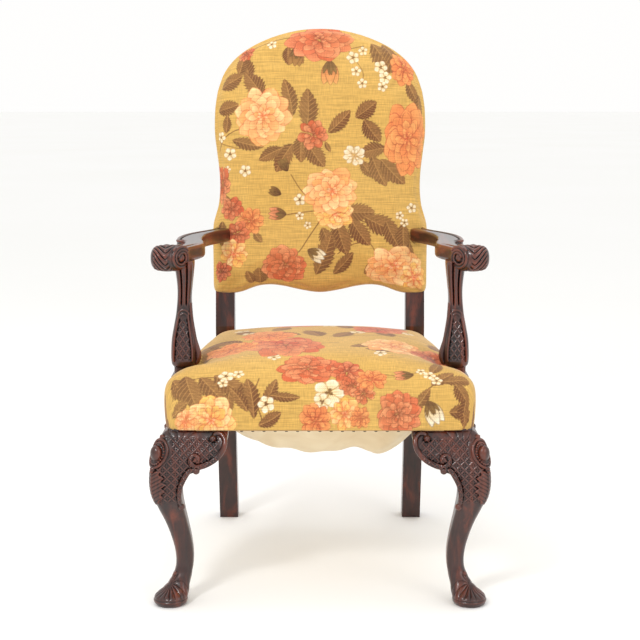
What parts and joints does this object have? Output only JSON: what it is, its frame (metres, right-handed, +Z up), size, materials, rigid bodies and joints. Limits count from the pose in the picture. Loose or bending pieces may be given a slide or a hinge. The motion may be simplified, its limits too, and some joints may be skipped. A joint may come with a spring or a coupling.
{
  "type": "armchair",
  "caption": "Upholstered wooden armchair: carved cabriole front legs, raked rear posts, shaped open arms on curved supports, stuffed seat and arched stuffed back.",
  "frame": {"origin": "on the floor, under the middle of the chair's bounding box", "axes": "+X to the right as seen by someone facing the chair, +Y from the front to the back, +Z up; the chair is mirror-symmetric in X = 0"},
  "size_m": [0.6654, 0.6842, 1.1531],
  "materials": {
    "mahogany": "dark stained and polished",
    "frame_wood": "bare beech",
    "print_cover": "slubbed linen with a flower print",
    "calico": "plain woven",
    "webbing": "jute",
    "hessian": "jute",
    "stuffing": "curled fibre",
    "spring_steel": "drawn wire",
    "screw_steel": "bright",
    "tack_steel": "blued"
  },
  "bodies": {
    "root": {"front_leg_left": "mahogany", "front_leg_right": "mahogany", "knee_bracket_front_left": "mahogany", "knee_bracket_front_right": "mahogany", "knee_bracket_side_left": "mahogany", "knee_bracket_side_right": "mahogany", "rear_post_left": "mahogany", "rear_post_right": "mahogany", "arm_left": "mahogany", "arm_right": "mahogany", "arm_support_left": "mahogany", "arm_support_right": "mahogany", "seat_rail_front": "frame_wood", "seat_rail_rear": "frame_wood", "seat_rail_left": "frame_wood", "seat_rail_right": "frame_wood", "corner_blocks": "frame_wood", "back_crest_rail": "frame_wood", "back_lower_rail": "frame_wood", "arm_support_screws": "screw_steel", "arm_end_screws": "screw_steel", "seat_webbing": "webbing", "seat_springs": "spring_steel", "seat_hessian": "hessian", "seat_stuffing": "stuffing", "seat_cover": "print_cover", "dust_cover": "calico", "dust_cover_tacks": "tack_steel", "back_webbing": "webbing", "back_hessian": "hessian", "back_stuffing": "stuffing", "back_cover": "print_cover", "outside_back_cover": "print_cover"}
  },
  "joints": []
}
